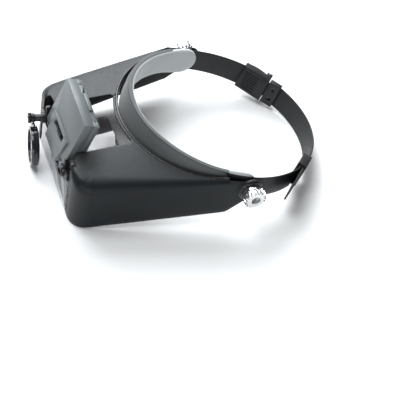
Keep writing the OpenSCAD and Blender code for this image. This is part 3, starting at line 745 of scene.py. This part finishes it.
def gear(name, place, rows, bore, dish, body, material):
    """A toothed knob from rows of (x, kind, value): a "round" row has radius value, and a "tooth"
    row follows the teeth, value inside their full height. dish is the end recess's x and depth."""
    per_tooth, flat = 12, 0.45
    steps = KNOB_TEETH * per_tooth

    def tooth(i):
        wave = 0.5 + 0.5 * math.cos(2 * math.pi * (i % per_tooth) / per_tooth)
        rise = min(max((wave - (0.5 - flat / 2)) / flat, 0), 1)
        return rise * rise * (3 - 2 * rise)

    end, depth = dish
    rows = rows + [(end, "round", bore + 0.8), (end, "round", bore + 0.3), (end - depth, "round", bore),
                   (KNOB_IN, "round", bore)]
    verts = []
    for x, kind, value in rows:
        for i in range(steps):
            a = 2 * math.pi * i / steps
            r = value if kind == "round" else KNOB_R - TOOTH_H - value + TOOTH_H * tooth(i)
            verts.append((x, r * math.cos(a), r * math.sin(a)))
    faces = tube_faces(len(rows), steps, caps=False)
    last = (len(rows) - 1) * steps
    faces += [(last + j, last + (j + 1) % steps, (j + 1) % steps, j) for j in range(steps)]
    return piece(name, place, verts, faces, body, material, 32)


def thumb_knobs():
    """The toothed chrome knobs on both pivots."""
    x0, x1 = KNOB_IN, KNOB_OUT
    rows = [(x0, "round", 7.4), (x0 + 0.4, "round", 8.0), (x0 + 3.0, "round", 8.0),
            (x0 + 3.6, "tooth", 1.2), (x0 + 3.8, "tooth", 0.5), (x0 + 4.3, "tooth", 0.0),
            (x1 - 1.0, "tooth", 0.0), (x1 - 0.5, "tooth", 0.15), (x1 - 0.15, "tooth", 0.5),
            (x1, "tooth", 1.1)]
    for side, turn in (("left", Matrix.Identity(4)), ("right", MIRROR)):
        ob = gear(side + "_knob_shape", turn, rows, 4.0, (x1, 2.5), side + "_knob",
                  MAT["chrome"])
        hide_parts(side + "_knob")


# ---- headband ----
def oval(t, a=BAND_A, b=BAND_B):
    t = math.radians(t)
    return Vector((a * math.sin(t), BAND_CY + b * math.cos(t)))


def oval_path(t0, t1, n):
    return [tuple(oval(t0 + (t1 - t0) * i / n)) for i in range(n + 1)]


EXIT_T, FRONT_END, LATCH_END, BLOCK_END, TAIL = 40, 56, 48, 32, 55
EXIT_P = oval(EXIT_T)
EXIT_D = Vector((BAND_A * math.cos(math.radians(EXIT_T)),
                 -BAND_B * math.sin(math.radians(EXIT_T)))).normalized()


def beside_exit(x, y):
    return tuple(EXIT_P + EXIT_D * x + Vector((-EXIT_D.y, EXIT_D.x)) * y)


def strap_section(h, t, r=0.5):
    return rounded([(-t / 2, -h / 2), (t / 2, -h / 2), (t / 2, h / 2), (-t / 2, h / 2)], r, 4)


def bands():
    """The front band and the rear strap, with its free tail past the adjuster."""
    path = [beside_exit(9, -2.8), beside_exit(13.5, -2.9), beside_exit(18, -3)]
    path += oval_path(FRONT_END, 360 - LATCH_END, 150)
    ob = sweep("front_band_strap", BAND, path, strap_section(BAND_H, BAND_T), "headband",
               MAT["band"])
    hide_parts("front_band")
    straight = [tuple(EXIT_P + EXIT_D * TAIL * i / 14) for i in range(1, 15)]
    path = oval_path(-BLOCK_END, EXIT_T, 90) + straight
    h = BAND_H - 1

    def section(f):
        end = (1 - f) * (len(path) - 1) * 4.0
        taper = min(1.0, 0.55 + 0.45 * math.sqrt(max(0.0, min(end / 10, 1))))
        return strap_section(h * taper, BAND_T)
    ob = sweep("rear_band_strap", BAND, path, section, "headband", MAT["strap"])
    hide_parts("rear_band")


# ---- brow pad ----
PAD_H, FOAM_T = 27.0, 5.5
PAD_END, COVER_END, TONGUE_H = 87.0, 106.0, 30.0
PAD_R = 92


def pad_half_height(t):
    """Half height of the inner foam at angle t from the rear: ear tongues with round ends."""
    s = min(abs(t - PAD_END), abs(360 - PAD_END - t))
    mm = s * math.radians(1) * PAD_R
    body = PAD_H / 2
    swell = math.exp(-((mm - 18) / 16) ** 2) * (TONGUE_H - PAD_H) / 2
    round_end = math.sqrt(max(0.0, 1 - (1 - min(mm / 15, 1)) ** 2))
    return max((body + swell) * round_end, 0.02)


def pad_lining():
    """The soft inner face: foam that bulges between its top and bottom seams."""
    n = 260
    path = oval_path(PAD_END, 360 - PAD_END, n)
    inner = BAND_T / 2 + 0.15

    def section(f):
        t = PAD_END + (360 - 2 * PAD_END) * f
        h = pad_half_height(t)
        thick = (FOAM_T - 0.25) * min(1.0, h / (PAD_H / 2)) ** 0.7
        pucker = 0.22 * math.sin(f * n * 2 * math.pi / 3.1)
        pts = []
        count = 18
        for k in range(count + 1):
            a = math.pi * k / count - math.pi / 2
            z = h * math.sin(a)
            crown = max(math.cos(a), 0) ** 0.55
            wave = 0.16 * noise.noise(Vector((f * 34, z * 0.13, 1.7)))
            edge = pucker * math.exp(-((h - abs(z)) / 2.2) ** 2)
            pts.append((-(inner + 0.5 + (thick - 0.5) * crown + wave * crown + edge * crown), z))
        pts.append((-inner, h * 0.97))
        pts.append((-inner, -h * 0.97))
        return pts
    ob = sweep("brow_pad_lining", BAND, path, section, "headband", MAT["lining"], sharp=60)
    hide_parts("brow_pad")
    return ob


def cover_edge(t):
    """Height of the outer cover's edge at angle t: its ends are rounded."""
    s = min(abs(t - COVER_END), abs(360 - COVER_END - t)) * math.radians(1) * PAD_R
    round_end = math.sqrt(max(0.0, 1 - (1 - min(s / 9, 1)) ** 2))
    return max(PAD_H / 2 * (0.35 + 0.65 * round_end), 0.5)


def pad_cover():
    """The outer cover, wrapped over the band's top and bottom edges."""
    n = 230
    path = oval_path(COVER_END, 360 - COVER_END, n)
    out = BAND_T / 2

    def section(f):
        t = COVER_END + (360 - 2 * COVER_END) * f
        h = cover_edge(t)
        pucker = 0.12 * math.sin(f * n * 2 * math.pi / 2.9)
        outer, inner = [], []
        count = 14
        for k in range(count + 1):
            a = -1 + 2 * k / count
            z = h * a
            bulge = 1.35 * (1 - abs(a) ** 3.2)
            dent = pucker * math.exp(-((1 - abs(a)) * h / 2.4) ** 2)
            wave = 0.1 * noise.noise(Vector((f * 22, a * 1.7, 9.1)))
            outer.append((out + 0.1 + bulge * 0.93 + dent + wave * (1 - abs(a)), z))
        for k in range(count + 1):
            a = 1 - 2 * k / count
            over = abs(a) > 0.93
            inner.append((-(out + 0.4) if over else out + 0.05, h * a * 0.985))
        return outer + inner
    ob = sweep("brow_pad_cover", BAND, path, section, "headband", MAT["cover"], sharp=60)
    return ob


def pad_binding():
    """The cover's edge folded over the top and the bottom of the foam."""
    n = 200
    for tag, sign in (("top", 1), ("bottom", -1)):
        def section(f):
            h = pad_half_height(COVER_END + 1 + (360 - 2 * COVER_END - 2) * f)
            shape = [(0.6, h - 0.5), (0.6, h + 0.02), (-1.2, h + 0.14), (-2.6, h * 0.99 + 0.2),
                     (-3.4, h * 0.96 + 0.1), (-3.3, h * 0.95 - 0.3), (-1.2, h - 0.5)]
            return [(o, z * sign) for o, z in shape]
        path = oval_path(COVER_END + 1, 359 - COVER_END, n)
        sweep("brow_pad_binding_" + tag, BAND, path, section, "headband", MAT["cover"],
              sharp=60)


def pad_stitching():
    """Thread seen as short stitches just below the binding, on the cover."""
    verts, faces = [], []
    pitch = math.degrees(2.5 / 93)
    stitches = int((360 - 2 * COVER_END - 6) / pitch)
    for sign in (1, -1):
        for i in range(stitches):
            t = COVER_END + 3 + pitch * i
            h = (cover_edge(t) - 0.85) * sign
            base = len(verts)
            for k in range(7):
                f = k / 6
                p = oval(t + pitch * 0.66 * f)
                d = (oval(t + 1) - oval(t - 1)).normalized()
                lift = 1.08 - 0.54 * (2 * f - 1) ** 4
                for c in range(6):
                    w = 2 * math.pi * c / 6
                    o = BAND_T / 2 + lift * 0.42 + 0.24 * math.cos(w)
                    verts.append((p.x - d.y * o, p.y + d.x * o, h + 0.27 * math.sin(w)))
            faces += tube_faces(7, 6, base=base)
    piece("brow_pad_stitching", BAND, verts, faces, "headband", MAT["thread"], 60)


# ---- build ----
visor_shell()
rim_bead()
pivot_bosses()
main_lens()
flip_lens()
loupe()
thumb_knobs()
bands()
pad_lining()
pad_cover()
pad_binding()
pad_stitching()

SOFT_NODES = {
    "left_adjuster": (0.6, "buckle"), "right_buckle": (0.5, "buckle"),
    "strap_end_block": (0.6, "buckle"), "buckle_latch": (0.6, "buckle"), "buckle_latch_pin": (0.2, "steel"),
    "left_pivot_bolt": (0.3, "steel"), "right_pivot_bolt": (0.3, "steel"),
    "left_inner_washer": (0.15, "nylon"), "right_inner_washer": (0.15, "nylon"),
    "left_outer_washer": (0.2, "steel"), "right_outer_washer": (0.2, "steel"),
    "left_knob_insert": (0.3, "brass"), "right_knob_insert": (0.3, "brass"),
    "left_hinge_cheek": (0.3, "bracket"), "right_hinge_cheek": (0.3, "bracket"),
    "cheek_screws": (0.2, "steel"),
    "left_loupe_mount": (0.5, "bracket"), "right_loupe_mount": (0.5, "bracket"),
    "lamp_hubs": (0.3, "hub"), "lamp_top_case": (0.7, "lamp"), "lamp_bottom_case": (0.6, "lamp"),
    "light_window": (0.3, "window"), "reflector": (0.2, "foil"), "led_board": (0.2, "board"),
    "leds": (0.2, "led"), "switch_body": (0.2, "bracket"), "switch_slider": (0.25, "switch"),
    "battery_cover": (0.5, "lamp"), "batteries": (0.5, "cell"), "battery_contacts": (0.1, "contact"),
    "lamp_screws": (0.2, "steel"), "loupe_arm": (0.4, "bracket"), "loupe_retainer": (0.2, "gloss"),
    "loupe_collar": (0.3, "steel"), "loupe_knob": (0.3, "switch"), "flip_frame": (0.4, "bracket"),
    "flip_pins": (0.2, "steel"),
}
for name, (width, material) in SOFT_NODES.items():
    softened(name, width, MAT[material])

# ---- floor, light and camera ----
FLOOR_Z = CAD_BOX[0][2] - 0.0001
COOL = (0.95, 0.98, 1.0)


def stage():
    bpy.ops.mesh.primitive_plane_add(size=6, location=(0, 0, FLOOR_Z))
    floor = bpy.context.object
    floor.name = "floor"
    mat, nt, bsdf = new_material("floor_paper")
    at = coords_of(nt)
    nt.links.new(ramp(nt, noise_tex(nt, at, 3, 2), 0.3, 0.7, (0.9, 0.9, 0.9), (0.92, 0.92, 0.92)),
                 bsdf.inputs["Base Color"])
    bsdf.inputs["Roughness"].default_value = 0.9
    bsdf.inputs["Specular IOR Level"].default_value = 0.1
    floor.data.materials.append(mat)


def area_light(name, at, target, size, power):
    data = bpy.data.lights.new(name, "AREA")
    data.shape = "RECTANGLE"
    data.size, data.size_y = size
    data.energy = power
    data.color = COOL
    ob = bpy.data.objects.new(name, data)
    ob.location = at
    ob.rotation_euler = (Vector(target) - Vector(at)).to_track_quat("-Z", "Y").to_euler()
    SCENE.collection.objects.link(ob)


def lights():
    world = bpy.data.worlds.new("studio")
    SCENE.world = world
    world.use_nodes = True
    back = world.node_tree.nodes["Background"]
    back.inputs["Color"].default_value = (1, 1, 1, 1)
    back.inputs["Strength"].default_value = 0.2
    area_light("left_softbox", (-0.95, -0.3, 1.0), (0, -0.1, 0), (0.9, 0.9), 22)
    area_light("sheen_softbox", (-1.07, 0.32, 0.76), (0, -0.08, 0.02), (0.8, 0.8), 15)
    area_light("top_softbox", (-0.1, -0.45, 1.35), (0, -0.05, 0), (0.7, 0.7), 11)
    area_light("fill_softbox", (1.0, -0.65, 0.22), (0, -0.08, 0), (0.9, 0.4), 3.5)


CAMERA_ANGLES = (62.770, 48.469, 10.832)
CAMERA_TARGET = (58.754, -32.529, -43.046)
CAMERA_DISTANCE, FOCAL_LENGTH, SENSOR = 1.074427, 101.525, 36


def camera():
    """Camera angles are azimuth, elevation and roll in degrees; the target is in millimetres."""
    azimuth, elevation, roll = (math.radians(a) for a in CAMERA_ANGLES)
    target = Vector(CAMERA_TARGET) * MM
    back = Vector((math.sin(azimuth) * math.cos(elevation), -math.cos(azimuth) * math.cos(elevation),
                   math.sin(elevation)))
    right = Vector((math.cos(azimuth), math.sin(azimuth), 0))
    above = back.cross(right)
    x = right * math.cos(roll) + above * math.sin(roll)
    y = above * math.cos(roll) - right * math.sin(roll)
    data = bpy.data.cameras.new("camera")
    data.lens = FOCAL_LENGTH
    data.sensor_width = SENSOR
    ob = bpy.data.objects.new("camera", data)
    at = target + back * CAMERA_DISTANCE
    ob.matrix_world = Matrix(((x.x, y.x, back.x, at.x), (x.y, y.y, back.y, at.y), (x.z, y.z, back.z, at.z),
                              (0, 0, 0, 1)))
    SCENE.collection.objects.link(ob)
    SCENE.camera = ob


stage()
lights()
camera()
SCENE.view_settings.view_transform = "Standard"
